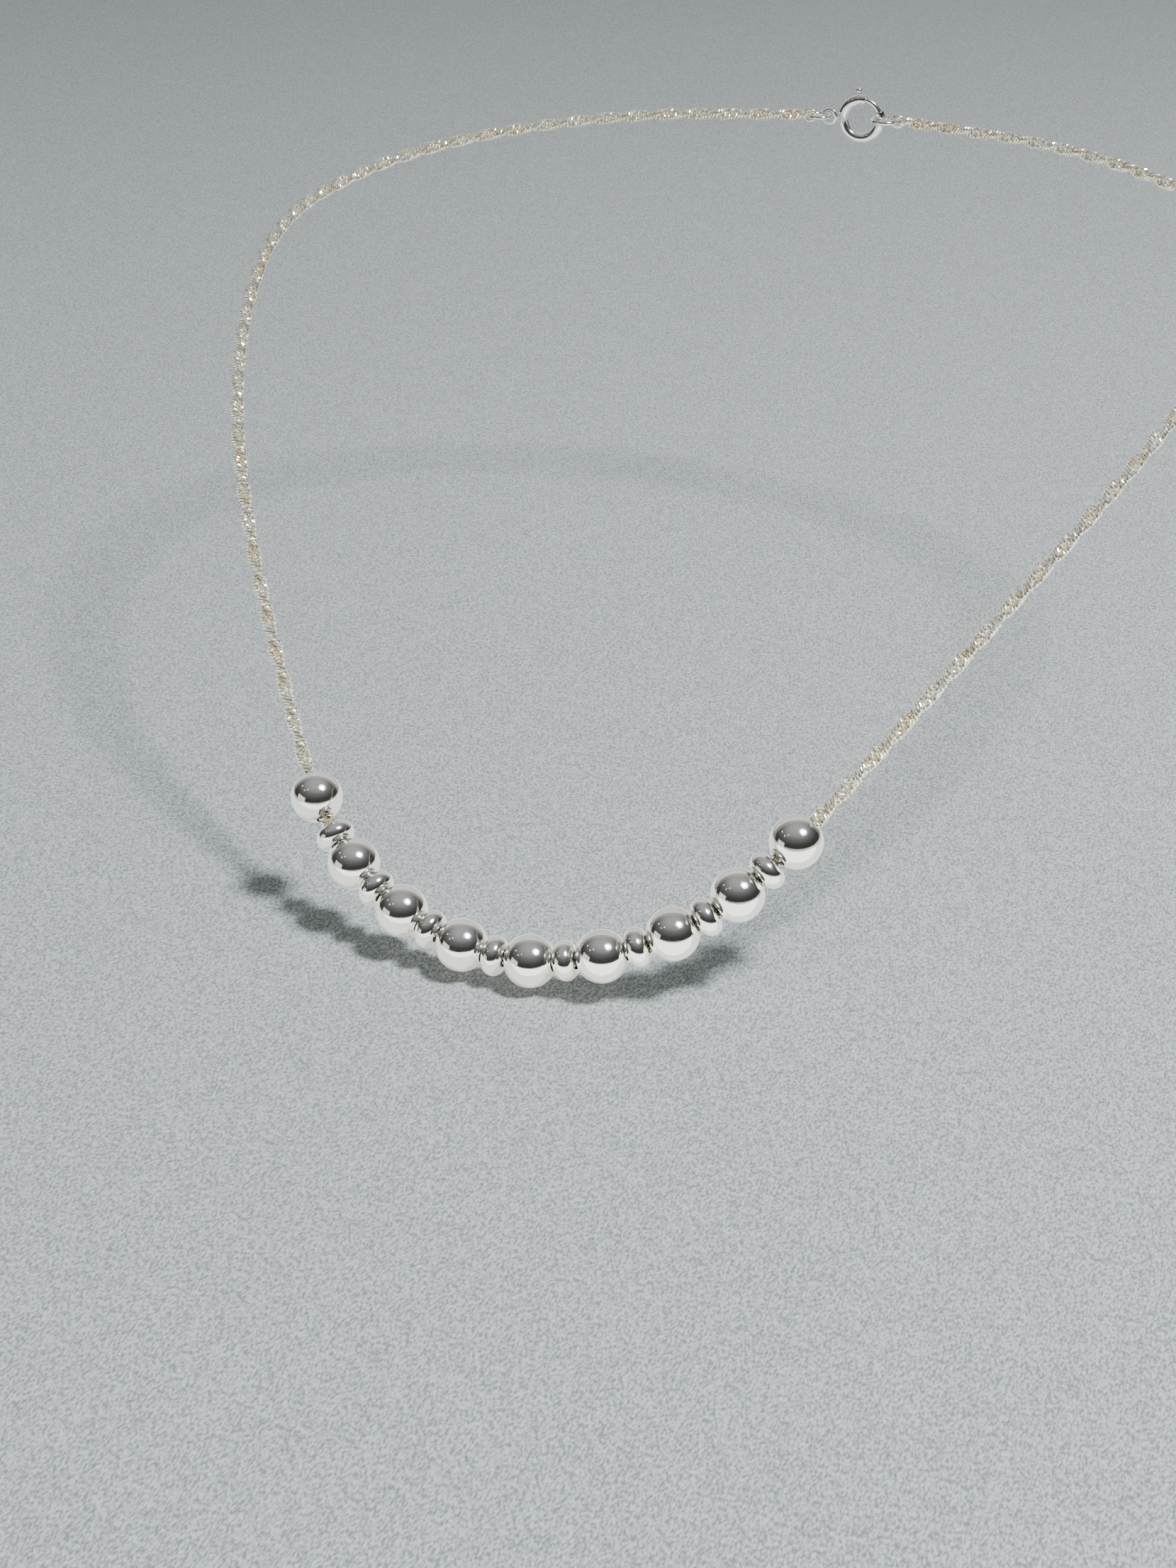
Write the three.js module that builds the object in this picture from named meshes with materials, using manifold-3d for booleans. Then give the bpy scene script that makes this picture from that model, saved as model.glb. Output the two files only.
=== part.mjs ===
// Chain necklace in its worn shape: a twisted curb chain carrying nine polished hollow balls,
// eight rondelles between them, and a spring ring clasp at the nape.
// Millimetres, +Z up, wearer's front towards -Y. The origin is midway between the two places
// where the chain passes over the shoulders.
import * as THREE from 'three';
import { mergeVertices } from 'three/addons/utils/BufferGeometryUtils.js';
import Module from 'manifold-3d';

const wasm = await Module();
wasm.setup();

// Right half of the chain's route, from the lowest point at the front up to the shoulder.
const FRONT_HALF = [
  [0, -92, -57],
  [10, -91, -55.5],
  [19, -88, -52],
  [26, -83.5, -47],
  [36.5, -72, -34.8],
  [46, -59.5, -22.9],
  [54.5, -44.5, -13],
  [61, -27, -5.3],
  [64.5, -9.5, -0.6],
];
// The back of the route is half an ellipse that rises a little towards the nape.
const SHOULDER_X = 65;
const NAPE_Y = 50;
const NAPE_RISE = 6;
const BACK_ANGLES = [9, 27, 45, 63];
const NAPE_X = 7.8;

const CHAIN_R = 0.85;
const CHAIN_SIDES = 8;
const FRONT_STEPS = 72;
const BACK_STEPS = 20;
const SHOULDER_GAP = 0.75;

const BALL_COUNT = 9;
const BALL_R = 3;
const BALL_WALL = 0.35;
const BORE_R = 1.1;
const BALL_PITCH = 8.34;
const BEAD_SHIFT = 3.1;
const END_GAP_LEFT = 1.3;
const END_GAP_RIGHT = 0.3;
const RONDELLE_R = 2.28;
const RONDELLE_LENGTH = 2.42;
const BALL_SIDES = 16;
const RONDELLE_SIDES = 14;

const SLEEVE_R = 1.55;
const SLEEVE_BORE_R = 1;
const SLEEVE_LENGTH = 3;
const SLEEVE_SIDES = 12;

const CLASP_X = 1.2;
const CLASP_RING_R = 2.8;
const CLASP_TUBE_R = 0.75;
const CLASP_BORE_R = 0.5;
const CLASP_OPEN_END = 78;
const CLASP_FAR_END = 385;
const CLASP_BORE_END = 238;
const SOCKET_DEPTH = 9.5;
const SLOT_START = 90;
const SLOT_END = 164;
const SLOT_WIDTH = 0.8;
const BOLT_R = 0.4;
const BOLT_TIP = 18;
const BOLT_TAIL = 118;
const KNOB_ANGLE = 98;
const KNOB_NECK_R = 0.28;
const KNOB_R = 0.5;
const KNOB_REACH = 4.15;
const SPRING_START = 182;
const SPRING_END = 236;
const SPRING_TURNS = 9;
const SPRING_COIL_R = 0.33;
const SPRING_WIRE_R = 0.08;
const TUBE_SIDES = 10;

const LINK_RING_R = 0.8;
const LINK_WIRE_R = 0.25;
const LEFT_LINK_X = -6.65;
const RIGHT_LINK_X = 6.6;
const LEFT_RING_X = -5.15;
const LEFT_RING_R = 1.5;
const LEFT_WIRE_R = 0.3;
const RIGHT_RING_X = 4.7;
const RIGHT_RING_R = 1.9;
const RIGHT_WIRE_R = 0.35;
const RING_CUT = 2;
const EYE_X = -3.65;
const EYE_R = 0.95;
const EYE_WIRE_R = 0.3;
const RING_SIDES = 8;
const RING_STEPS = 20;

const DEG = Math.PI / 180;

function metal(color, roughness) {
  return new THREE.MeshStandardMaterial({ color, roughness, metalness: 1 });
}

const BEAD_SILVER = metal(0xe6e4de, 0.08);
const CHAIN_SILVER = metal(0xdedad0, 0.2);
const CLASP_SILVER = metal(0xdedcd6, 0.15);
const SPRING_STEEL = metal(0xb4b4b2, 0.35);
const SLEEVE_SILICONE = new THREE.MeshStandardMaterial({ color: 0xd8d8d4, roughness: 0.6, metalness: 0 });

function backPoint(angle) {
  return new THREE.Vector3(
    SHOULDER_X * Math.cos(angle * DEG),
    NAPE_Y * Math.sin(angle * DEG),
    NAPE_RISE * Math.sin(angle * DEG),
  );
}

const NAPE_ANGLE = Math.acos(NAPE_X / SHOULDER_X) / DEG;
const NAPE = backPoint(NAPE_ANGLE);

function chainRoute() {
  const right = FRONT_HALF.map((p) => new THREE.Vector3(...p));
  for (const angle of [...BACK_ANGLES, NAPE_ANGLE]) right.push(backPoint(angle));
  const left = right.slice(1).map((p) => new THREE.Vector3(-p.x, p.y, p.z));
  const route = new THREE.CatmullRomCurve3([...left.reverse(), ...right]);
  route.arcLengthDivisions = 4000;
  return route;
}

const ROUTE = chainRoute();
const ROUTE_LENGTH = ROUTE.getLength();

// Fraction of the route at a signed distance from the lowest point at the front.
function fractionAt(distance) {
  return 0.5 + distance / ROUTE_LENGTH;
}

// Distance along the route from the lowest point to where it passes over the shoulder.
function shoulderDistance() {
  let low = 0;
  let high = ROUTE_LENGTH / 2;
  for (let i = 0; i < 40; i += 1) {
    const mid = (low + high) / 2;
    if (ROUTE.getPointAt(fractionAt(mid)).y < 0) low = mid;
    else high = mid;
  }
  return low;
}

const SHOULDER_AT = shoulderDistance();

class Stretch extends THREE.Curve {
  constructor(from, to) {
    super();
    this.from = fractionAt(from);
    this.to = fractionAt(to);
  }

  getPoint(t) {
    return ROUTE.getPointAt(this.from + (this.to - this.from) * t);
  }
}

class FlatArc extends THREE.Curve {
  constructor(radius, from, to) {
    super();
    this.radius = radius;
    this.from = from * DEG;
    this.to = to * DEG;
  }

  getPoint(t) {
    const a = this.from + (this.to - this.from) * t;
    return new THREE.Vector3(this.radius * Math.cos(a), 0, this.radius * Math.sin(a));
  }
}

class ArcCoil extends THREE.Curve {
  getPoint(t) {
    const a = (SPRING_START + (SPRING_END - SPRING_START) * t) * DEG;
    const turn = t * SPRING_TURNS * 2 * Math.PI;
    const radial = CLASP_RING_R + SPRING_COIL_R * Math.cos(turn);
    return new THREE.Vector3(
      radial * Math.cos(a),
      SPRING_COIL_R * Math.sin(turn),
      radial * Math.sin(a),
    );
  }
}

function circle(radius, sides) {
  const shape = new THREE.Shape();
  for (let i = 0; i < sides; i += 1) {
    const a = (i / sides) * 2 * Math.PI;
    if (i === 0) shape.moveTo(radius, 0);
    else shape.lineTo(radius * Math.cos(a), radius * Math.sin(a));
  }
  shape.closePath();
  return shape;
}

function sweep(path, radius, sides, steps) {
  return new THREE.ExtrudeGeometry(circle(radius, sides), { steps, extrudePath: path, bevelEnabled: false });
}

function bare(geometry) {
  const copy = geometry.clone();
  copy.deleteAttribute('normal');
  copy.deleteAttribute('uv');
  return mergeVertices(copy, 1e-4);
}

// Welds the seams and turns the surface to face outwards.
function solid(geometry) {
  const g = bare(geometry);
  const p = g.attributes.position;
  const index = g.index.array;
  const [a, b, c] = [new THREE.Vector3(), new THREE.Vector3(), new THREE.Vector3()];
  let volume = 0;
  for (let i = 0; i < index.length; i += 3) {
    a.fromBufferAttribute(p, index[i]);
    b.fromBufferAttribute(p, index[i + 1]);
    c.fromBufferAttribute(p, index[i + 2]);
    volume += a.dot(b.cross(c));
  }
  if (volume < 0) index.reverse();
  g.computeVertexNormals();
  return g;
}

function toManifold(geometry) {
  const g = solid(geometry);
  return new wasm.Manifold(new wasm.Mesh({
    numProp: 3,
    vertProperties: new Float32Array(g.attributes.position.array),
    triVerts: new Uint32Array(g.index.array),
  }));
}

function fromManifold(manifold) {
  const mesh = manifold.getMesh();
  const g = new THREE.BufferGeometry();
  g.setAttribute('position', new THREE.BufferAttribute(new Float32Array(mesh.vertProperties), 3));
  g.setIndex(new THREE.BufferAttribute(new Uint32Array(mesh.triVerts), 1));
  g.computeVertexNormals();
  return g;
}

function piece(name, geometry, material) {
  const mesh = new THREE.Mesh(geometry, material);
  mesh.name = name;
  return mesh;
}

function lathe(profile, sides) {
  const points = profile.map(([r, y]) => new THREE.Vector2(r, y));
  points.push(points[0].clone());
  return solid(new THREE.LatheGeometry(points, sides));
}

// Puts a turned piece on the chain, its axis along the chain there.
function strung(mesh, distance) {
  const u = fractionAt(distance);
  mesh.position.copy(ROUTE.getPointAt(u));
  mesh.quaternion.setFromUnitVectors(new THREE.Vector3(0, 1, 0), ROUTE.getTangentAt(u).normalize());
  return mesh;
}

function arcProfile(radius, edgeRadius, steps, from) {
  const edge = Math.acos(edgeRadius / radius);
  const points = [];
  for (let i = 0; i <= steps; i += 1) {
    const a = from * edge * (1 - (2 * i) / steps);
    points.push([radius * Math.cos(a), radius * Math.sin(a)]);
  }
  return points;
}

function ballGeometry() {
  const outside = arcProfile(BALL_R, BORE_R, 9, -1);
  const inside = arcProfile(BALL_R - BALL_WALL, BORE_R, 6, 1);
  return lathe([...outside, ...inside], BALL_SIDES);
}

function rondelleGeometry() {
  const profile = [];
  const steps = 8;
  for (let i = 0; i <= steps; i += 1) {
    const a = ((i / steps) - 0.5) * Math.PI;
    profile.push([
      BORE_R + (RONDELLE_R - BORE_R) * Math.cos(a),
      (RONDELLE_LENGTH / 2) * Math.sin(a),
    ]);
  }
  return lathe(profile, RONDELLE_SIDES);
}

function sleeveGeometry() {
  const half = SLEEVE_LENGTH / 2;
  const profile = [
    [SLEEVE_BORE_R, -half],
    [SLEEVE_R, -half],
    [SLEEVE_R, half],
    [SLEEVE_BORE_R, half],
  ];
  return lathe(profile, SLEEVE_SIDES);
}

function ballDistance(i) {
  let distance = BEAD_SHIFT + (i - (BALL_COUNT - 1) / 2) * BALL_PITCH;
  if (i === 0) distance -= END_GAP_LEFT;
  if (i === BALL_COUNT - 1) distance += END_GAP_RIGHT;
  return distance;
}

function rondelleDistance(i) {
  return BEAD_SHIFT + (i - (BALL_COUNT - 2) / 2) * BALL_PITCH;
}

function addBeads(group) {
  const ball = ballGeometry();
  const rondelle = rondelleGeometry();
  for (let i = 0; i < BALL_COUNT; i += 1) {
    group.add(strung(piece(`ball_${i + 1}`, ball.clone(), BEAD_SILVER), ballDistance(i)));
  }
  for (let i = 0; i < BALL_COUNT - 1; i += 1) {
    group.add(strung(piece(`rondelle_${i + 1}`, rondelle.clone(), BEAD_SILVER), rondelleDistance(i)));
  }
}

function addStopperSleeves(group) {
  const sleeve = sleeveGeometry();
  group.add(strung(piece('sleeve_left', sleeve.clone(), SLEEVE_SILICONE), ballDistance(0)));
  group.add(strung(piece('sleeve_right', sleeve.clone(), SLEEVE_SILICONE), ballDistance(BALL_COUNT - 1)));
}

function addChain(group) {
  const frontEnd = SHOULDER_AT - SHOULDER_GAP;
  const backStart = SHOULDER_AT + SHOULDER_GAP;
  const end = ROUTE_LENGTH / 2;
  const stretches = [
    ['chain_front', new Stretch(-frontEnd, frontEnd), FRONT_STEPS],
    ['chain_back_right', new Stretch(backStart, end), BACK_STEPS],
    ['chain_back_left', new Stretch(-end, -backStart), BACK_STEPS],
  ];
  for (const [name, path, steps] of stretches) {
    group.add(piece(name, solid(sweep(path, CHAIN_R, CHAIN_SIDES, steps)), CHAIN_SILVER));
  }
}

function atNape(mesh, x) {
  mesh.position.set(x, NAPE.y, NAPE.z);
  return mesh;
}

// A ring of round wire whose hole faces the wearer's back.
function upright(radius, wire) {
  return solid(new THREE.TorusGeometry(radius, wire, RING_SIDES, RING_STEPS).rotateX(Math.PI / 2));
}

// A cut ring of round wire lying level, its cut towards +X.
function levelCutRing(radius, wire) {
  const arc = sweep(new FlatArc(radius, RING_CUT, 360 - RING_CUT), wire, RING_SIDES, RING_STEPS);
  return solid(arc.rotateX(-Math.PI / 2));
}

function addRings(group) {
  group.add(atNape(piece('end_link_left', upright(LINK_RING_R, LINK_WIRE_R), CHAIN_SILVER), LEFT_LINK_X));
  group.add(atNape(piece('end_link_right', upright(LINK_RING_R, LINK_WIRE_R), CHAIN_SILVER), RIGHT_LINK_X));
  group.add(atNape(piece('ring_left', levelCutRing(LEFT_RING_R, LEFT_WIRE_R), CLASP_SILVER), LEFT_RING_X));
  group.add(atNape(piece('ring_right', levelCutRing(RIGHT_RING_R, RIGHT_WIRE_R), CLASP_SILVER), RIGHT_RING_X));
  group.add(atNape(piece('clasp_eye', upright(EYE_R, EYE_WIRE_R), CLASP_SILVER), EYE_X));
}

function knobSlot() {
  const outer = CLASP_RING_R + 2 * CLASP_TUBE_R;
  const shape = new THREE.Shape();
  shape.absarc(0, 0, outer, SLOT_START * DEG, SLOT_END * DEG, false);
  shape.absarc(0, 0, CLASP_RING_R, SLOT_END * DEG, SLOT_START * DEG, true);
  const slab = new THREE.ExtrudeGeometry(shape, { depth: SLOT_WIDTH, bevelEnabled: false, curveSegments: 12 });
  return slab.rotateX(Math.PI / 2).translate(0, SLOT_WIDTH / 2, 0);
}

function claspTube() {
  const overrun = 2;
  const shell = sweep(new FlatArc(CLASP_RING_R, CLASP_OPEN_END, CLASP_FAR_END), CLASP_TUBE_R, TUBE_SIDES, 30);
  const bore = sweep(new FlatArc(CLASP_RING_R, CLASP_OPEN_END - overrun, CLASP_BORE_END), CLASP_BORE_R, TUBE_SIDES, 16);
  const socketStart = CLASP_FAR_END - SOCKET_DEPTH;
  const socket = sweep(new FlatArc(CLASP_RING_R, socketStart, CLASP_FAR_END + overrun), CLASP_BORE_R, TUBE_SIDES, 2);
  const result = toManifold(shell)
    .subtract(toManifold(bore))
    .subtract(toManifold(socket))
    .subtract(toManifold(knobSlot()));
  return fromManifold(result);
}

function claspBolt() {
  const rod = sweep(new FlatArc(CLASP_RING_R, BOLT_TIP, BOLT_TAIL), BOLT_R, TUBE_SIDES, 12);
  const outwards = new THREE.Vector3(Math.cos(KNOB_ANGLE * DEG), 0, Math.sin(KNOB_ANGLE * DEG));
  const turn = new THREE.Quaternion().setFromUnitVectors(new THREE.Vector3(0, 1, 0), outwards);
  const neckLength = KNOB_REACH - CLASP_RING_R;
  const neck = new THREE.CylinderGeometry(KNOB_NECK_R, KNOB_NECK_R, neckLength, TUBE_SIDES)
    .translate(0, CLASP_RING_R + neckLength / 2, 0)
    .applyQuaternion(turn);
  const head = new THREE.SphereGeometry(KNOB_R, 12, 8)
    .translate(0, KNOB_REACH, 0)
    .applyQuaternion(turn);
  return fromManifold(toManifold(rod).add(toManifold(neck)).add(toManifold(head)));
}

function claspSpring() {
  return solid(sweep(new ArcCoil(), SPRING_WIRE_R, 5, SPRING_TURNS * 8));
}

function addClasp(group) {
  group.add(atNape(piece('clasp_tube', claspTube(), CLASP_SILVER), CLASP_X));
  group.add(atNape(piece('clasp_bolt', claspBolt(), CLASP_SILVER), CLASP_X));
  group.add(atNape(piece('clasp_spring', claspSpring(), SPRING_STEEL), CLASP_X));
}

const necklace = new THREE.Group();
addChain(necklace);
addBeads(necklace);
addStopperSleeves(necklace);
addRings(necklace);
addClasp(necklace);

export default necklace;
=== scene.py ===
"""Chain necklace in its worn shape, in metres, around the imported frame."""
import math

import bpy
import numpy as np
from mathutils import Matrix, Vector


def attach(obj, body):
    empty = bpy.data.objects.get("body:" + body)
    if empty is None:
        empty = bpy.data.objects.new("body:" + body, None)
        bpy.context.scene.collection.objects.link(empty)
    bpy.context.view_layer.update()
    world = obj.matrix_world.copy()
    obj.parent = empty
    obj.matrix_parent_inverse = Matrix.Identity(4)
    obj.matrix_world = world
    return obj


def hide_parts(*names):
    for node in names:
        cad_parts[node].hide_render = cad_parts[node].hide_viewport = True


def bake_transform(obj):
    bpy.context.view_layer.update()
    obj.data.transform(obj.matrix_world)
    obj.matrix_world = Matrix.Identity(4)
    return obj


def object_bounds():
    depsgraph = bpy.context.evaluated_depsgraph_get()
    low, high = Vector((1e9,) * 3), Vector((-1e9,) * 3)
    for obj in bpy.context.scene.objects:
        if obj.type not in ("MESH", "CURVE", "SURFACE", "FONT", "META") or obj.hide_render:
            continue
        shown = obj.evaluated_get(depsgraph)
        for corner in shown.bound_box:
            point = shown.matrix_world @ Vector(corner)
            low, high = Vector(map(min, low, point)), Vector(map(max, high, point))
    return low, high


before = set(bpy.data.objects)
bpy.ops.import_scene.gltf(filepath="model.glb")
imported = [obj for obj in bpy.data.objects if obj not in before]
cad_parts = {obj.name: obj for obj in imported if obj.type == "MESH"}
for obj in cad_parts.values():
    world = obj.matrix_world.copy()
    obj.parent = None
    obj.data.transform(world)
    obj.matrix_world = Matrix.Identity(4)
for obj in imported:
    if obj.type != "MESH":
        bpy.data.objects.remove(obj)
cad_bounds = [list(v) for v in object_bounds()]

MM = 0.001
DEG = math.pi / 180

# Right half of the chain's route, in millimetres, as the CAD has it.
FRONT_HALF = [
    (0, -92, -57),
    (10, -91, -55.5),
    (19, -88, -52),
    (26, -83.5, -47),
    (36.5, -72, -34.8),
    (46, -59.5, -22.9),
    (54.5, -44.5, -13),
    (61, -27, -5.3),
    (64.5, -9.5, -0.6),
]
SHOULDER_X = 65
NAPE_Y = 50
NAPE_RISE = 6
NAPE_X = 7.8
BACK_ANGLES = (9, 27, 45, 63)

BALL_COUNT = 9
LAST_BALL = BALL_COUNT - 1
MIDDLE_BALL = LAST_BALL / 2
BALL_R = 3.0
BALL_WALL = 0.35
BORE_R = 1.02
BALL_PITCH = 8.34
BEAD_SHIFT = 3.1
END_GAP_LEFT = 1.3
END_GAP_RIGHT = 0.3
RONDELLE_R = 2.28
RONDELLE_LENGTH = 2.48

SLEEVE_HALF_LENGTH = 1.5
SLEEVE_R = 1.55
SLEEVE_BORE_R = 1.0
SLEEVE_ROUND = 0.2

LINK_PITCH_NOMINAL = 0.61
LINK_WIRE_R = 0.17
LINK_HALF_LENGTH = 0.45
LINK_HALF_WIDTH = 0.73
LINK_WEAVE = 0.39
HALF_TURN = 4.6
TWIST_SIGN = 1
LAST_LINK_PAST = 0.24
# How much chain on each side of a shoulder goes into a piece of its own; the real chain bends over this
# stretch when the front swings.
BEND = 7.0


# ---------------------------------------------------------------- route

def back_point(angle):
    a = angle * DEG
    return (SHOULDER_X * math.cos(a), NAPE_Y * math.sin(a), NAPE_RISE * math.sin(a))


def smooth_curve(points, steps=200):
    """Centripetal Catmull-Rom through the points, with mirrored end points."""
    p = np.array(points, float)
    p = np.vstack([2 * p[0] - p[1], p, 2 * p[-1] - p[-2]])
    out = []
    t = np.linspace(0, 1, steps, endpoint=False)[:, None]
    for i in range(1, len(p) - 2):
        p0, p1, p2, p3 = p[i - 1:i + 3]
        d0 = np.linalg.norm(p1 - p0) ** 0.5
        d1 = np.linalg.norm(p2 - p1) ** 0.5
        d2 = np.linalg.norm(p3 - p2) ** 0.5
        m1 = ((p1 - p0) / d0 - (p2 - p0) / (d0 + d1) + (p2 - p1) / d1) * d1
        m2 = ((p2 - p1) / d1 - (p3 - p1) / (d1 + d2) + (p3 - p2) / d2) * d1
        a = 2 * p1 - 2 * p2 + m1 + m2
        b = -3 * p1 + 3 * p2 - 2 * m1 - m2
        out.append(a * t ** 3 + b * t ** 2 + m1 * t + p1)
    out.append(p[-2][None])
    return np.concatenate(out)


NAPE_ANGLE = math.acos(NAPE_X / SHOULDER_X) / DEG
NAPE = back_point(NAPE_ANGLE)
right_side = FRONT_HALF + [back_point(a) for a in BACK_ANGLES] + [NAPE]
left_side = [(-x, y, z) for x, y, z in right_side[:0:-1]]
ROUTE = smooth_curve(left_side + right_side)
RUN = np.concatenate([[0], np.cumsum(np.linalg.norm(np.diff(ROUTE, axis=0), axis=1))])
HALF_RUN = RUN[-1] / 2

END_STEPS = 8
end_stretch = ROUTE[-1] - ROUTE[-1 - END_STEPS]
END_WAY = end_stretch / np.linalg.norm(end_stretch)
START_WAY = END_WAY * np.array([-1, 1, 1])


def along(s):
    """Points at distances s from the lowest point at the front. Past the ends it runs straight."""
    s = np.asarray(s, float)
    p = np.stack([np.interp(s + HALF_RUN, RUN, ROUTE[:, k]) for k in range(3)], -1)
    p = p + np.maximum(s - HALF_RUN, 0)[..., None] * END_WAY
    return p + np.maximum(-HALF_RUN - s, 0)[..., None] * START_WAY


def heading(s, h=0.15):
    """Unit directions of the route at distances s."""
    s = np.asarray(s, float)
    d = along(s + h) - along(s - h)
    return d / np.linalg.norm(d, axis=-1, keepdims=True)


def level_side(tangent):
    """Unit directions square to the tangents and as near level as they can be."""
    side = np.cross(tangent, np.array([0.0, 0.0, 1.0]))
    return side / np.linalg.norm(side, axis=-1, keepdims=True)


MIDDLE = len(ROUTE) // 2
SHOULDER_AT = float(np.interp(0.0, ROUTE[MIDDLE:, 1], RUN[MIDDLE:])) - HALF_RUN


def ball_distance(i):
    """Where ball i sits on the route, counted from the left."""
    s = BEAD_SHIFT + (i - MIDDLE_BALL) * BALL_PITCH
    if i == 0:
        s -= END_GAP_LEFT
    if i == LAST_BALL:
        s += END_GAP_RIGHT
    return s


def rondelle_distance(i):
    """Rondelle i sits halfway between balls i and i + 1."""
    return BEAD_SHIFT + (i + 0.5 - MIDDLE_BALL) * BALL_PITCH


# ---------------------------------------------------------------- materials
# Texture scales count features per metre.

def new_material(name):
    m = bpy.data.materials.new(name)
    m.use_nodes = True
    nodes = m.node_tree.nodes
    links = m.node_tree.links
    shader = next(n for n in nodes if n.type == "BSDF_PRINCIPLED")
    return m, nodes, links, shader


def ramp(nodes, links, source, stops):
    r = nodes.new("ShaderNodeValToRGB")
    e = r.color_ramp.elements
    while len(e) < len(stops):
        e.new(0.5)
    for el, (pos, col) in zip(e, stops):
        el.position = pos
        el.color = (*col, 1)
    links.new(source, r.inputs["Fac"])
    return r


def noise(nodes, links, vector, scale, detail=2, roughness=0.5):
    n = nodes.new("ShaderNodeTexNoise")
    n.inputs["Scale"].default_value = scale
    n.inputs["Detail"].default_value = detail
    n.inputs["Roughness"].default_value = roughness
    links.new(vector, n.inputs["Vector"])
    return n.outputs["Fac"]


def stretched(nodes, links, vector, scale, rotation=(0, 0, 0)):
    m = nodes.new("ShaderNodeMapping")
    m.inputs["Rotation"].default_value = rotation
    m.inputs["Scale"].default_value = scale
    links.new(vector, m.inputs["Vector"])
    return m.outputs["Vector"]


def grey(v):
    return (v, v, v)


def silver(name, light, dark, rough_low, rough_high, scratch, fleck_scale, dust=0.0, metallic=1.0):
    """Polished silver: faint tone changes, rubbing scratches, tiny pits and a dust of fine wear."""
    m, nodes, links, shader = new_material(name)
    shader.inputs["Metallic"].default_value = metallic
    here = nodes.new("ShaderNodeTexCoord").outputs["Object"]

    tone = noise(nodes, links, here, 420, 5)
    colour = ramp(nodes, links, tone, [(0.3, dark), (0.62, light)])
    links.new(colour.outputs["Color"], shader.inputs["Base Color"])

    lengthways = stretched(nodes, links, here, (1.0, 9.0, 3.0), (0.6, 0.35, 0.9))
    rub = noise(nodes, links, lengthways, 1500, 6, 0.7)
    rough = ramp(nodes, links, rub, [(0.35, grey(rough_low)), (0.72, grey(rough_high))])
    wear = noise(nodes, links, here, 9500, 3)
    spots = ramp(nodes, links, wear, [(0.46, grey(0.0)), (0.74, grey(dust))])
    total = nodes.new("ShaderNodeMath")
    total.operation = "ADD"
    links.new(rough.outputs["Color"], total.inputs[0])
    links.new(spots.outputs["Color"], total.inputs[1])
    links.new(total.outputs["Value"], shader.inputs["Roughness"])

    fleck = nodes.new("ShaderNodeTexVoronoi")
    fleck.inputs["Scale"].default_value = fleck_scale
    links.new(here, fleck.inputs["Vector"])
    pits = ramp(nodes, links, fleck.outputs["Distance"], [(0.0, grey(0.0)), (0.16, grey(1.0))])
    mix = nodes.new("ShaderNodeMix")
    mix.data_type = "FLOAT"
    mix.inputs["Factor"].default_value = 0.5
    links.new(rub, mix.inputs["A"])
    links.new(pits.outputs["Color"], mix.inputs["B"])
    bump = nodes.new("ShaderNodeBump")
    bump.inputs["Strength"].default_value = scratch
    bump.inputs["Distance"].default_value = 0.00002
    links.new(mix.outputs["Result"], bump.inputs["Height"])
    links.new(bump.outputs["Normal"], shader.inputs["Normal"])
    return m


BEAD = silver("bead_silver", (0.98, 0.97, 0.93), (0.94, 0.925, 0.87), 0.03, 0.08, 0.14, 2600, 0.15)
CHAIN = silver("chain_silver", (1.0, 0.98, 0.90), (0.97, 0.88, 0.66), 0.10, 0.24, 0.25, 3800, 0.0, 0.93)
CLASP = silver("clasp_silver", (0.94, 0.93, 0.91), (0.88, 0.87, 0.84), 0.06, 0.16, 0.2, 2600)


def silicone():
    m, nodes, links, shader = new_material("silicone")
    shader.inputs["Roughness"].default_value = 0.55
    shader.inputs["Subsurface Weight"].default_value = 0.2
    shader.inputs["Subsurface Radius"].default_value = (0.001, 0.001, 0.001)
    here = nodes.new("ShaderNodeTexCoord").outputs["Object"]
    cloud = noise(nodes, links, here, 900)
    colour = ramp(nodes, links, cloud, [(0.3, (0.74, 0.74, 0.72)), (0.7, (0.85, 0.85, 0.83))])
    links.new(colour.outputs["Color"], shader.inputs["Base Color"])
    return m


def spring_steel():
    m, nodes, links, shader = new_material("spring_steel")
    shader.inputs["Metallic"].default_value = 1.0
    here = nodes.new("ShaderNodeTexCoord").outputs["Object"]
    drawn = noise(nodes, links, here, 2500)
    colour = ramp(nodes, links, drawn, [(0.3, (0.55, 0.55, 0.54)), (0.7, (0.72, 0.72, 0.70))])
    rough = ramp(nodes, links, drawn, [(0.3, grey(0.25)), (0.7, grey(0.42))])
    links.new(colour.outputs["Color"], shader.inputs["Base Color"])
    links.new(rough.outputs["Color"], shader.inputs["Roughness"])
    return m


SILICONE = silicone()
SPRING = spring_steel()


# ---------------------------------------------------------------- mesh helpers

def mesh_object(name, verts_mm, faces, material, matrix=None):
    mesh = bpy.data.meshes.new(name)
    mesh.from_pydata((np.asarray(verts_mm) * MM).tolist(), [], faces)
    mesh.materials.append(material)
    mesh.polygons.foreach_set("use_smooth", [True] * len(mesh.polygons))
    if matrix is not None:
        mesh.transform(matrix)
    mesh.update()
    o = bpy.data.objects.new(name, mesh)
    bpy.context.scene.collection.objects.link(o)
    return o


def place(o, body, slot, *nodes):
    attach(o, body)
    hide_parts(*nodes)
    return o


def ring_faces(rows, cols, closed_rows):
    """Quads of a grid that is closed across its columns, and along its rows if asked."""
    faces = []
    last = rows if closed_rows else rows - 1
    for i in range(last):
        a = i * cols
        b = ((i + 1) % rows) * cols
        for j in range(cols):
            k = (j + 1) % cols
            faces.append((a + j, a + k, b + k, b + j))
    return faces


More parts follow.
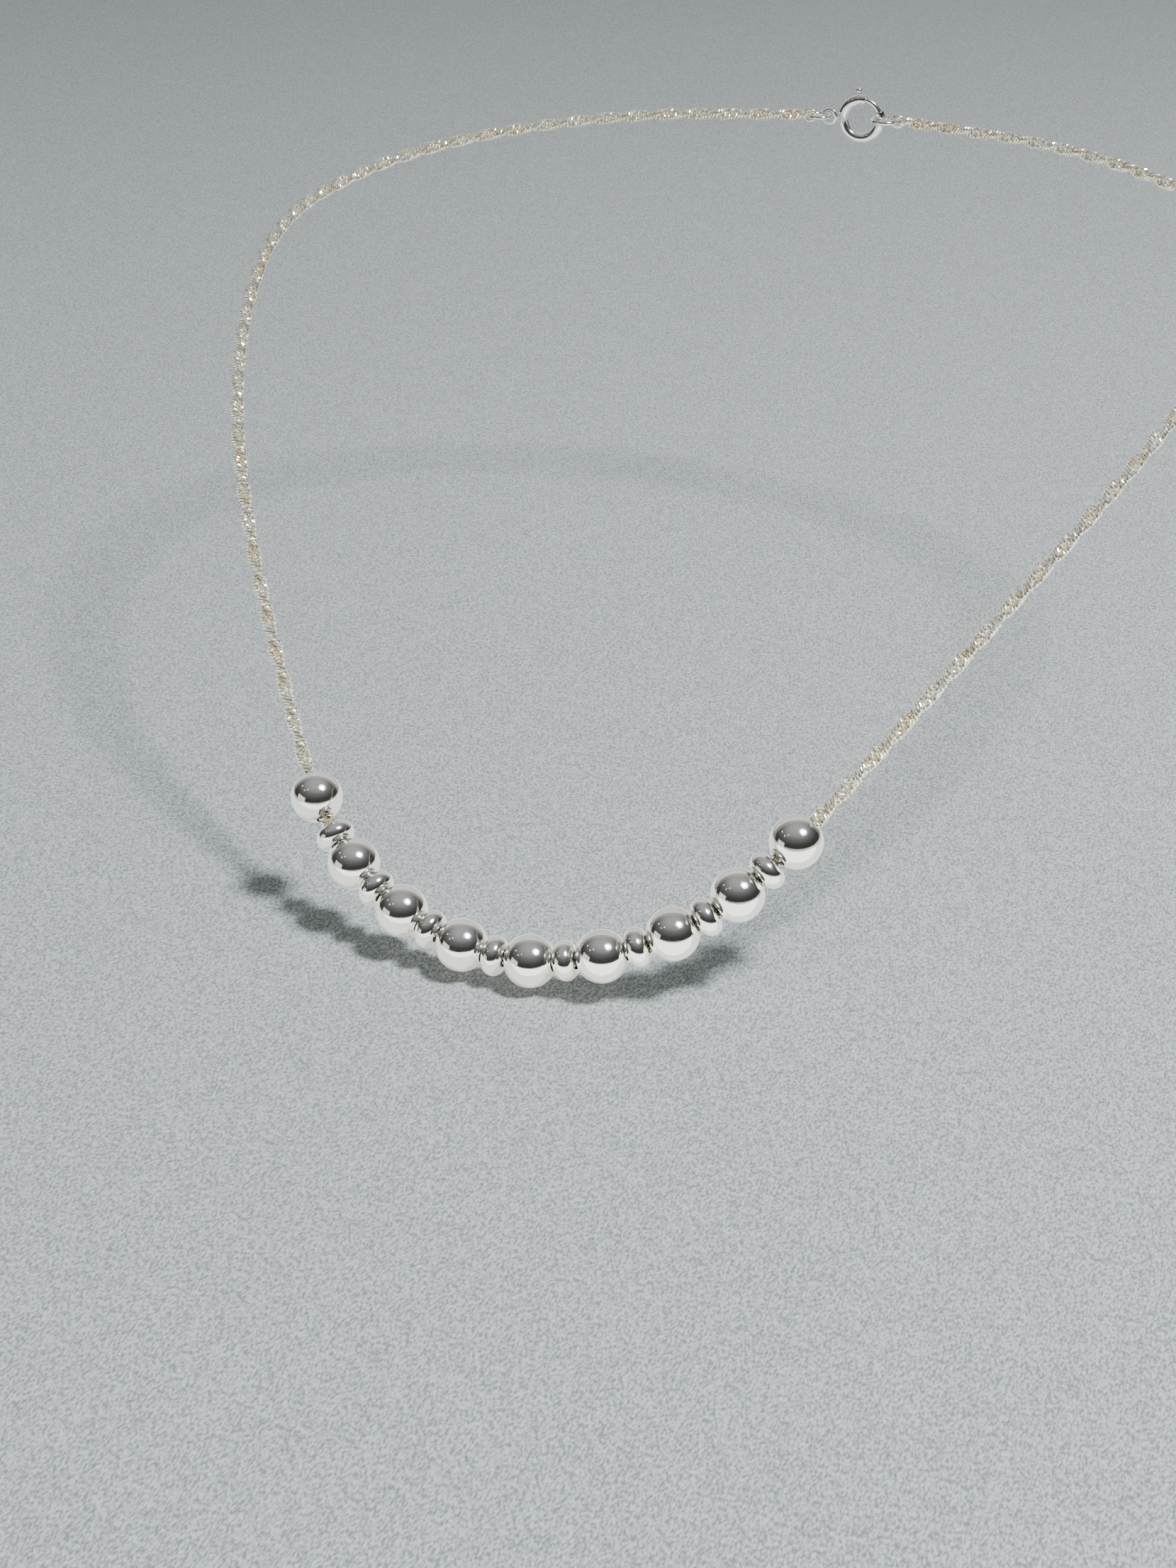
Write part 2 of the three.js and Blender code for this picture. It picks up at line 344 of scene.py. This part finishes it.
def turned(profile, sides=96):
    """A closed profile of (radius, height) turned about the height axis."""
    verts = []
    for i in range(sides):
        a = 2 * math.pi * i / sides
        verts += [(r * math.cos(a), r * math.sin(a), h) for r, h in profile]
    n = len(profile)
    faces = []
    for i in range(sides):
        a = i * n
        b = ((i + 1) % sides) * n
        for j in range(n):
            k = (j + 1) % n
            faces.append((a + j, b + j, b + k, a + k))
    return np.array(verts), faces


def fillet(corner, before, after, radius, steps=6):
    """Points of a small round between two edges that meet at a corner."""
    c, p, q = (np.array(v, float) for v in (corner, before, after))
    u = (p - c) / np.linalg.norm(p - c)
    v = (q - c) / np.linalg.norm(q - c)
    start, end = c + u * radius, c + v * radius
    t = np.linspace(0, 1, steps)[:, None]
    return ((1 - t) ** 2 * start + 2 * t * (1 - t) * c + t ** 2 * end).tolist()


def ball_profile():
    """Hollow ball: outside skin, rolled edge at each hole, inside skin."""
    inner_r = BALL_R - BALL_WALL
    out_edge = math.acos(BORE_R / BALL_R)
    in_edge = math.acos(BORE_R / inner_r)
    trim = 0.03
    edge = 0.05
    outside = [(BALL_R * math.cos(a), BALL_R * math.sin(a))
               for a in np.linspace(-out_edge + trim, out_edge - trim, 61)]
    inside = [(inner_r * math.cos(a), inner_r * math.sin(a))
              for a in np.linspace(in_edge - trim, -in_edge + trim, 25)]
    top_out = (BORE_R, BALL_R * math.sin(out_edge))
    top_in = (BORE_R, inner_r * math.sin(in_edge))
    top = fillet(top_out, outside[-1], top_in, edge) + fillet(top_in, top_out, inside[0], edge)
    bottom = [(r, -h) for r, h in reversed(top)]
    return outside + top + inside + bottom


def rondelle_profile():
    """Solid rondelle: rounded rim, flattened faces, rounded edge at the bore."""
    half = RONDELLE_LENGTH / 2
    reach = RONDELLE_R - BORE_R
    trim = 0.08
    edge = 0.07
    rim = [(BORE_R + reach * math.cos(a), half * math.sin(a))
           for a in np.linspace(-90 * DEG, 90 * DEG, 49)]
    rim = [p for p in rim if p[0] > BORE_R + trim]
    top = fillet((BORE_R, half), rim[-1], (BORE_R, 0), edge, 8)
    bottom = [(r, -h) for r, h in reversed(top)]
    return rim + top + bottom


def strung_matrix(s):
    """Turns local +Z to the chain's direction at s and moves it there."""
    t = Vector(heading(s))
    side = Vector(level_side(heading(s)))
    m = Matrix((side, t.cross(side), t)).transposed().to_4x4()
    m.translation = Vector(along(s) * MM)
    return m


# ---------------------------------------------------------------- beads

ball_verts, ball_faces = turned(ball_profile())
rondelle_verts, rondelle_faces = turned(rondelle_profile())

for i in range(BALL_COUNT):
    name = f"ball_{i + 1}"
    body = {0: "stopper_left", LAST_BALL: "stopper_right"}.get(i, name)
    o = mesh_object(f"bead_{name}", ball_verts, ball_faces, BEAD, strung_matrix(ball_distance(i)))
    place(o, body, "bead_silver", name)

for i in range(LAST_BALL):
    name = f"rondelle_{i + 1}"
    o = mesh_object(f"bead_{name}", rondelle_verts, rondelle_faces, BEAD,
                    strung_matrix(rondelle_distance(i)))
    place(o, name, "bead_silver", name)


def sleeve_profile():
    """Grip sleeve: a short thick tube with rounded edges."""
    half = SLEEVE_HALF_LENGTH
    corners = [(SLEEVE_R, -half), (SLEEVE_R, half), (SLEEVE_BORE_R, half), (SLEEVE_BORE_R, -half)]
    out = []
    for i, c in enumerate(corners):
        out += fillet(c, corners[i - 1], corners[(i + 1) % 4], SLEEVE_ROUND)
    return out


sleeve_verts, sleeve_faces = turned(sleeve_profile(), 48)
for side, i in (("left", 0), ("right", LAST_BALL)):
    o = mesh_object(f"stopper_sleeve_{side}", sleeve_verts, sleeve_faces, SILICONE,
                    strung_matrix(ball_distance(i)))
    place(o, f"stopper_{side}", "silicone", f"sleeve_{side}")


# ---------------------------------------------------------------- chain

LINK_STEPS = 20
WIRE_SIDES = 8

# Whole numbers of half turns and of links, so that the last link at each end lies level.
CHAIN_END = HALF_RUN + LAST_LINK_PAST
TURNS = round(2 * CHAIN_END / HALF_TURN)
LINK_GAPS = round(2 * CHAIN_END / LINK_PITCH_NOMINAL)
link_centres = np.linspace(-CHAIN_END, CHAIN_END, LINK_GAPS + 1)


def chain_links(centres):
    """Vertices and faces of interlocked curb links that twist about the route."""
    n = len(centres)
    t = np.linspace(0, 2 * math.pi, LINK_STEPS, endpoint=False)
    x = LINK_HALF_LENGTH * np.cos(t)
    y = LINK_HALF_WIDTH * np.sin(t)
    z = LINK_WEAVE * np.sin(2 * t)
    s = centres[:, None] + x[None, :]
    base = along(s)
    fwd = heading(s)
    side = level_side(fwd)
    up = np.cross(side, fwd)
    turn = TWIST_SIGN * TURNS * math.pi * (s + CHAIN_END) / (2 * CHAIN_END)
    c, d = np.cos(turn)[..., None], np.sin(turn)[..., None]
    wide = c * side + d * up
    thick = c * up - d * side
    line = base + y[None, :, None] * wide + z[None, :, None] * thick
    middle = along(centres)[:, None, :]
    tangent = np.roll(line, -1, axis=1) - np.roll(line, 1, axis=1)
    tangent /= np.linalg.norm(tangent, axis=-1, keepdims=True)
    out = line - middle
    out -= (out * tangent).sum(-1, keepdims=True) * tangent
    out /= np.linalg.norm(out, axis=-1, keepdims=True)
    binormal = np.cross(tangent, out)
    a = np.linspace(0, 2 * math.pi, WIRE_SIDES, endpoint=False)
    verts = (line[:, :, None, :]
             + LINK_WIRE_R * np.cos(a)[None, None, :, None] * out[:, :, None, :]
             + LINK_WIRE_R * np.sin(a)[None, None, :, None] * binormal[:, :, None, :])
    faces = np.array(ring_faces(LINK_STEPS, WIRE_SIDES, True))
    per = LINK_STEPS * WIRE_SIDES
    all_faces = (faces[None] + (np.arange(n) * per)[:, None, None]).reshape(-1, 4)
    return verts.reshape(-1, 3), all_faces[:, ::-1].tolist()


def chain_piece(name, low, high):
    """The links between two distances, with the flats of their eight-sided wire left crisp."""
    chosen = link_centres[(link_centres >= low) & (link_centres < high)]
    verts, faces = chain_links(chosen)
    o = mesh_object(name, verts, faces, CHAIN)
    o.data.polygons.foreach_set("use_smooth", [False] * len(o.data.polygons))
    return o


FRONT_REACH = SHOULDER_AT - BEND
BACK_FROM = SHOULDER_AT + BEND
PAST_END = CHAIN_END + 1
for name, body, node, low, high in (
    ("chain_links_front", "front", "chain_front", -FRONT_REACH, FRONT_REACH),
    ("chain_links_back_right", "back", "chain_back_right", BACK_FROM, PAST_END),
    ("chain_links_back_left", "back", "chain_back_left", -PAST_END, -BACK_FROM),
):
    o = chain_piece(name, low, high)
    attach(o, body)
    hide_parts(node)

for side, sign in (("right", 1), ("left", -1)):
    low, high = sorted((sign * FRONT_REACH, sign * BACK_FROM))
    o = chain_piece(f"chain_links_shoulder_{side}", low, high)
    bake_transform(o)


# ---------------------------------------------------------------- clasp and rings

CLASP_X = 1.2
CLASP_RING_R = 2.8
CLASP_TUBE_R = 0.75
CLASP_BORE_R = 0.5
CLASP_LIP = 0.1

# Arcs round the clasp, in degrees from +X towards +Z.
TUBE_ARC = (78, 385)
BORE_ARC = (74, 238)
SOCKET_ARC = (375.5, 389)
SLOT_ARC = (90, 164)
SLOT_WIDTH = 0.8
BOLT_ARC = (18, 118)
BOLT_R = 0.4
BOLT_LIP = 0.12
KNOB_ANGLE = 98
KNOB_NECK_R = 0.28
KNOB_NECK_TOP = 4.0
KNOB_REACH = 4.15
KNOB_R = 0.5
KNOB_SQUASH = 0.85

SPRING_START = 182
SPRING_SPAN = 54
SPRING_TURNS = 9
SPRING_STEPS_PER_TURN = 24
SPRING_COIL_R = 0.33
SPRING_WIRE_R = 0.08

EYE_X, EYE_R, EYE_WIRE_R = -3.65, 0.95, 0.3
END_LINK_R, END_LINK_WIRE_R = 0.8, 0.25
END_LINK_X = (("left", -6.65), ("right", 6.6))
JUMP_RING_CUT = 0.8
JUMP_RING_LIP = 0.04
# Side, place along X, radius and wire radius.
JUMP_RINGS = (("left", -5.15, 1.5, 0.3), ("right", 4.7, 1.9, 0.35))


def swept(path, refs, radii, sides=32, closed=False):
    """A round bar along a path. refs are directions roughly square to it."""
    path, refs = np.asarray(path, float), np.asarray(refs, float)
    radii = np.broadcast_to(radii, (len(path),))
    if closed:
        fwd = np.roll(path, -1, axis=0) - np.roll(path, 1, axis=0)
    else:
        fwd = np.gradient(path, axis=0)
    fwd /= np.linalg.norm(fwd, axis=1, keepdims=True)
    u = refs - (refs * fwd).sum(1, keepdims=True) * fwd
    u /= np.linalg.norm(u, axis=1, keepdims=True)
    v = np.cross(fwd, u)
    a = np.linspace(0, 2 * math.pi, sides, endpoint=False)
    ring = np.cos(a)[None, :, None] * u[:, None] + np.sin(a)[None, :, None] * v[:, None]
    verts = (path[:, None] + radii[:, None, None] * ring).reshape(-1, 3)
    faces = ring_faces(len(path), sides, closed)
    if not closed:
        last = (len(path) - 1) * sides
        faces.append(tuple(range(sides - 1, -1, -1)))
        faces.append(tuple(range(last, last + sides)))
    return verts, faces


def rounded_ends(angles, radius, bar, lip):
    """Angles and bar radii of an arc whose two ends are rounded by a small lip."""
    q = np.linspace(0, math.pi / 2, 6)
    low, high = angles[0], angles[-1]
    inner = np.linspace(low + lip / radius, high - lip / radius, len(angles))
    a = np.concatenate([low + lip / radius * (1 - np.cos(q)), inner[1:-1],
                        (high - lip / radius * (1 - np.cos(q)))[::-1]])
    r = np.concatenate([bar - lip + lip * np.sin(q), np.full(len(inner) - 2, bar),
                        (bar - lip + lip * np.sin(q))[::-1]])
    return a, r


def arc_bar(radius, bar, start, end, steps, lip=0.0, sides=32):
    """A bar along an upright arc about the origin, angles in degrees from +X towards +Z."""
    angles = np.linspace(start * DEG, end * DEG, steps)
    radii = np.full(steps, bar)
    if lip:
        angles, radii = rounded_ends(angles, radius, bar, lip)
    out = np.stack([np.cos(angles), np.zeros_like(angles), np.sin(angles)], -1)
    return swept(out * radius, out, radii, sides)


def upright_ring(radius, wire, steps=64, sides=24):
    """A closed ring of round wire, standing upright."""
    a = np.linspace(0, 2 * math.pi, steps, endpoint=False)
    out = np.stack([np.cos(a), np.zeros_like(a), np.sin(a)], -1)
    return swept(out * radius, out, wire, sides, True)


def level_cut_ring(radius, wire, cut, steps=72, sides=24):
    """A ring of round wire lying level, cut towards +X over twice this many degrees."""
    angles = np.linspace(cut * DEG, (360 - cut) * DEG, steps)
    a, r = rounded_ends(angles, radius, wire, JUMP_RING_LIP)
    out = np.stack([np.cos(a), -np.sin(a), np.zeros_like(a)], -1)
    return swept(out * radius, out, r, sides)


def at_nape(x):
    """The move from the origin to the nape, x millimetres to the right of its middle."""
    return Matrix.Translation(Vector((x, NAPE[1], NAPE[2])) * MM)


def add_solid(name, parts, material, x):
    """One mesh object from a list of (vertices, faces), moved to its place at the nape."""
    verts, faces = [], []
    for v, f in parts:
        base = sum(len(w) for w in verts)
        faces += [tuple(k + base for k in q) for q in f]
        verts.append(np.asarray(v))
    return mesh_object(name, np.concatenate(verts), faces, material, at_nape(x))


def cut_or_join(o, parts, operation):
    """Applies booleans with temporary solids, then drops them."""
    for i, part in enumerate(parts):
        tool = add_solid(f"tool_{i}", [part], CLASP, CLASP_X)
        mod = o.modifiers.new("boolean", "BOOLEAN")
        mod.object = tool
        mod.operation = operation
        mod.solver = "EXACT"
        bpy.context.view_layer.objects.active = o
        bpy.ops.object.modifier_apply(modifier=mod.name)
        bpy.data.objects.remove(tool)


def crisp_edges(o, angle=35):
    """Keeps cut edges sharp and the rest smooth."""
    o.data.polygons.foreach_set("use_smooth", [True] * len(o.data.polygons))
    o.data.set_sharp_from_angle(angle=angle * DEG)


def slot_slab(start, end, inner, outer, width):
    """A slab between two radii and two angles, standing upright, with its ends square."""
    a = np.linspace(start * DEG, end * DEG, 33)
    low = np.stack([inner * np.cos(a), inner * np.sin(a)], -1)
    high = np.stack([outer * np.cos(a), outer * np.sin(a)], -1)[::-1]
    flat = np.concatenate([low, high])
    n = len(flat)
    verts = [(x, -width / 2, z) for x, z in flat] + [(x, width / 2, z) for x, z in flat]
    faces = [tuple(range(n)), tuple(range(2 * n - 1, n - 1, -1))]
    faces += [(i, i + n, (i + 1) % n + n, (i + 1) % n) for i in range(n)]
    return verts, faces


def ball_at(angle, reach, radius, squash):
    """A ball at an angle and a reach from the ring's centre, squashed upright."""
    centre = np.array([math.cos(angle * DEG), 0, math.sin(angle * DEG)]) * reach
    rows, cols = 17, 32
    verts = []
    for i in range(1, rows):
        p = math.pi * i / rows
        for j in range(cols):
            q = 2 * math.pi * j / cols
            verts.append(centre + radius * np.array([math.sin(p) * math.cos(q),
                                                     math.cos(p),
                                                     squash * math.sin(p) * math.sin(q)]))
    verts += [centre + np.array([0, radius, 0]), centre - np.array([0, radius, 0])]
    faces = ring_faces(rows - 1, cols, False)
    top, bottom = len(verts) - 2, len(verts) - 1
    last = (rows - 2) * cols
    faces += [((j + 1) % cols, j, top) for j in range(cols)]
    faces += [(last + j, last + (j + 1) % cols, bottom) for j in range(cols)]
    return verts, faces


def spoke(angle, low, high, radius, sides=24):
    """A round bar pointing straight out from the ring's centre."""
    out = np.array([math.cos(angle * DEG), 0, math.sin(angle * DEG)])
    path = [out * r for r in np.linspace(low, high, 6)]
    return swept(path, [(0, 1, 0)] * 6, radius, sides)


tube = arc_bar(CLASP_RING_R, CLASP_TUBE_R, *TUBE_ARC, 110, CLASP_LIP)
o = add_solid("clasp_ring_tube", [tube], CLASP, CLASP_X)
cut_or_join(o, [
    arc_bar(CLASP_RING_R, CLASP_BORE_R, *BORE_ARC, 60),
    arc_bar(CLASP_RING_R, CLASP_BORE_R, *SOCKET_ARC, 8),
    slot_slab(*SLOT_ARC, CLASP_RING_R, CLASP_RING_R + 2 * CLASP_TUBE_R, SLOT_WIDTH),
], "DIFFERENCE")
crisp_edges(o)
place(o, "back", "clasp_silver", "clasp_tube")

bolt = arc_bar(CLASP_RING_R, BOLT_R, *BOLT_ARC, 50, BOLT_LIP)
o = add_solid("clasp_ring_bolt", [bolt], CLASP, CLASP_X)
cut_or_join(o, [
    spoke(KNOB_ANGLE, CLASP_RING_R, KNOB_NECK_TOP, KNOB_NECK_R),
    ball_at(KNOB_ANGLE, KNOB_REACH, KNOB_R, KNOB_SQUASH),
], "UNION")
crisp_edges(o)
place(o, "bolt", "clasp_silver", "clasp_bolt")

o = add_solid("clasp_ring_eye", [upright_ring(EYE_R, EYE_WIRE_R)], CLASP, EYE_X)
place(o, "back", "clasp_silver", "clasp_eye")
for side, x in END_LINK_X:
    link = upright_ring(END_LINK_R, END_LINK_WIRE_R)
    o = add_solid(f"chain_end_link_{side}", [link], CHAIN, x)
    place(o, "back", "chain_silver", f"end_link_{side}")
for side, x, radius, wire in JUMP_RINGS:
    o = add_solid(f"jump_ring_{side}", [level_cut_ring(radius, wire, JUMP_RING_CUT)], CLASP, x)
    place(o, f"ring_{side}", "clasp_silver", f"ring_{side}")


def coil_spring():
    """The spring inside the tube, wound round the clasp's own arc."""
    t = np.linspace(0, 1, SPRING_TURNS * SPRING_STEPS_PER_TURN + 1)
    a = (SPRING_START + SPRING_SPAN * t) * DEG
    turn = t * SPRING_TURNS * 2 * math.pi
    out = np.stack([np.cos(a), np.zeros_like(a), np.sin(a)], -1)
    radial = (CLASP_RING_R + SPRING_COIL_R * np.cos(turn))[:, None] * out
    path = radial + (SPRING_COIL_R * np.sin(turn))[:, None] * np.array([0.0, 1.0, 0.0])
    centre = CLASP_RING_R * out
    return swept(path, path - centre, SPRING_WIRE_R, 10)


o = add_solid("clasp_coil_spring", [coil_spring()], SPRING, CLASP_X)
place(o, "back", "spring_steel", "clasp_spring")


# ---------------------------------------------------------------- stage

def area_light(name, place_at, aim, size, power, colour=(1, 1, 1), size_y=None):
    data = bpy.data.lights.new(name, "AREA")
    data.energy = power
    data.color = colour
    data.size = size
    if size_y:
        data.shape = "RECTANGLE"
        data.size_y = size_y
    else:
        data.shape = "DISK"
    o = bpy.data.objects.new(name, data)
    bpy.context.scene.collection.objects.link(o)
    o.location = place_at
    o.rotation_euler = (Vector(aim) - Vector(place_at)).to_track_quat("-Z", "Y").to_euler()
    return o


def floor_material():
    m, nodes, links, shader = new_material("floor")
    shader.inputs["Roughness"].default_value = 0.95
    shader.inputs["Specular IOR Level"].default_value = 0.1
    here = nodes.new("ShaderNodeTexCoord").outputs["Object"]
    nap = noise(nodes, links, stretched(nodes, links, here, (1.0, 0.5, 1.0)), 4200)
    colour = ramp(nodes, links, nap,
                  [(0.34, (0.17, 0.188, 0.193)), (0.66, (0.425, 0.462, 0.468))])
    links.new(colour.outputs["Color"], shader.inputs["Base Color"])
    return m


FLOOR_GAP = 0.0006
FLOOR_Z = cad_bounds[0][2] - FLOOR_GAP
FLOOR_HALF = 3.0
mesh = bpy.data.meshes.new("floor")
corners = [(x * FLOOR_HALF, y * FLOOR_HALF, FLOOR_Z) for x, y in ((-1, -1), (1, -1), (1, 1), (-1, 1))]
mesh.from_pydata(corners, [], [(0, 1, 2, 3)])
floor = bpy.data.objects.new("floor", mesh)
bpy.context.scene.collection.objects.link(floor)
mesh.materials.append(floor_material())

# What the lights point at, and the camera's own axes.
AIM = Vector((0.005, -0.088, -0.052))
AZIMUTH = 20.32 * DEG
ELEVATION = 27.79 * DEG
ROLL = -0.25 * DEG
BACK = Vector((math.sin(AZIMUTH) * math.cos(ELEVATION),
               -math.cos(AZIMUTH) * math.cos(ELEVATION),
               math.sin(ELEVATION)))
RIGHT = Vector((math.cos(AZIMUTH), math.sin(AZIMUTH), 0))
UP = BACK.cross(RIGHT)
AWAY = Vector((-math.sin(AZIMUTH), math.cos(AZIMUTH), 0))


def studio_world():
    """A dim room: dark in front, greyer overhead, pale behind the object."""
    world = bpy.data.worlds.new("world")
    bpy.context.scene.world = world
    world.use_nodes = True
    nodes, links = world.node_tree.nodes, world.node_tree.links
    background = next(n for n in nodes if n.type == "BACKGROUND")
    coord = nodes.new("ShaderNodeTexCoord")
    axes = []
    for axis in ((0, 0, 1), tuple(AWAY)):
        dot = nodes.new("ShaderNodeVectorMath")
        dot.operation = "DOT_PRODUCT"
        dot.inputs[1].default_value = axis
        links.new(coord.outputs["Generated"], dot.inputs[0])
        axes.append(dot.outputs["Value"])
    overhead = ramp(nodes, links, axes[0],
                    [(0.0, (0.028, 0.022, 0.018)), (0.3, (0.05, 0.048, 0.046)),
                     (0.62, (0.12, 0.124, 0.13)), (0.97, (0.33, 0.34, 0.35))])
    shift = nodes.new("ShaderNodeMath")
    shift.operation = "MULTIPLY_ADD"
    shift.inputs[1].default_value = 0.5
    shift.inputs[2].default_value = 0.5
    links.new(axes[1], shift.inputs[0])
    behind = ramp(nodes, links, shift.outputs["Value"],
                  [(0.70, grey(0.0)), (0.83, (0.22, 0.22, 0.21)), (0.88, (0.66, 0.655, 0.60))])
    add = nodes.new("ShaderNodeMix")
    add.data_type = "RGBA"
    add.blend_type = "ADD"
    add.inputs["Factor"].default_value = 1.0
    links.new(overhead.outputs["Color"], add.inputs["A"])
    links.new(behind.outputs["Color"], add.inputs["B"])
    links.new(add.outputs["Result"], background.inputs["Color"])
    background.inputs["Strength"].default_value = 1.25


studio_world()


def seen_from_aim(right, up, back, distance):
    """A point at this distance from AIM, in a direction given in the camera's axes."""
    return AIM + (RIGHT * right + UP * up + BACK * back).normalized() * distance


KEY_WAY = (0.42, 0.66, 0.62)
area_light("key", seen_from_aim(*KEY_WAY, 0.9), AIM, 0.17, 17.0)
area_light("key_halo", seen_from_aim(*KEY_WAY, 1.0), AIM, 0.50, 1.8, (0.84, 0.92, 1.0))
LAMPS = ((-0.75, 0.42, 0.5), (-0.785, 0.604, 0.14), (-0.56, 0.50, 0.66))
for i, way in enumerate(LAMPS):
    area_light(f"lamp_left_{i + 1}", seen_from_aim(*way, 1.2), AIM, 0.075, 0.06, (1.0, 0.86, 0.5))


def hidden_card(name, centre, width, depth, power, colour):
    """A pale reflector lying level and shining up, its long side across the view."""
    o = area_light(name, centre, centre + Vector((0, 0, 1)), width, power, colour, depth)
    o.rotation_euler = (math.pi, 0, AZIMUTH)
    o.visible_camera = False
    return o


under = AIM + AWAY * 0.01
under.z = FLOOR_Z + 0.0003
hidden_card("card_under", under, 0.26, 0.20, 0.13, (1.0, 0.985, 0.92))
front = AIM - AWAY * 0.045
front.z = FLOOR_Z + 0.0006
hidden_card("card_front", front, 0.30, 0.07, 0.072, (1.0, 0.99, 0.94))
side_card = area_light("card_left", AIM - RIGHT * 0.30 - AWAY * 0.10 + Vector((0, 0, 0.03)),
                       AIM + Vector((0, 0, 0.01)), 0.20, 0.07, (1, 1, 0.98), 0.11)
side_card.visible_camera = False

VIEW_POINT = Vector((0.0545, -0.2119, 0.0341))
VIEW_DISTANCE = 0.112
SENSOR_HEIGHT_MM = 24
LENS_MM = 37.1392

camera_data = bpy.data.cameras.new("camera")
camera = bpy.data.objects.new("camera", camera_data)
bpy.context.scene.collection.objects.link(camera)
rolled_right = math.cos(ROLL) * RIGHT + math.sin(ROLL) * UP
rolled_up = math.cos(ROLL) * UP - math.sin(ROLL) * RIGHT
view_matrix = Matrix((rolled_right, rolled_up, BACK)).transposed().to_4x4()
view_matrix.translation = VIEW_POINT + VIEW_DISTANCE * BACK
camera.matrix_world = view_matrix
camera_data.sensor_fit = "VERTICAL"
camera_data.sensor_height = SENSOR_HEIGHT_MM
camera_data.lens = LENS_MM
camera_data.clip_start = 0.01
bpy.context.scene.camera = camera
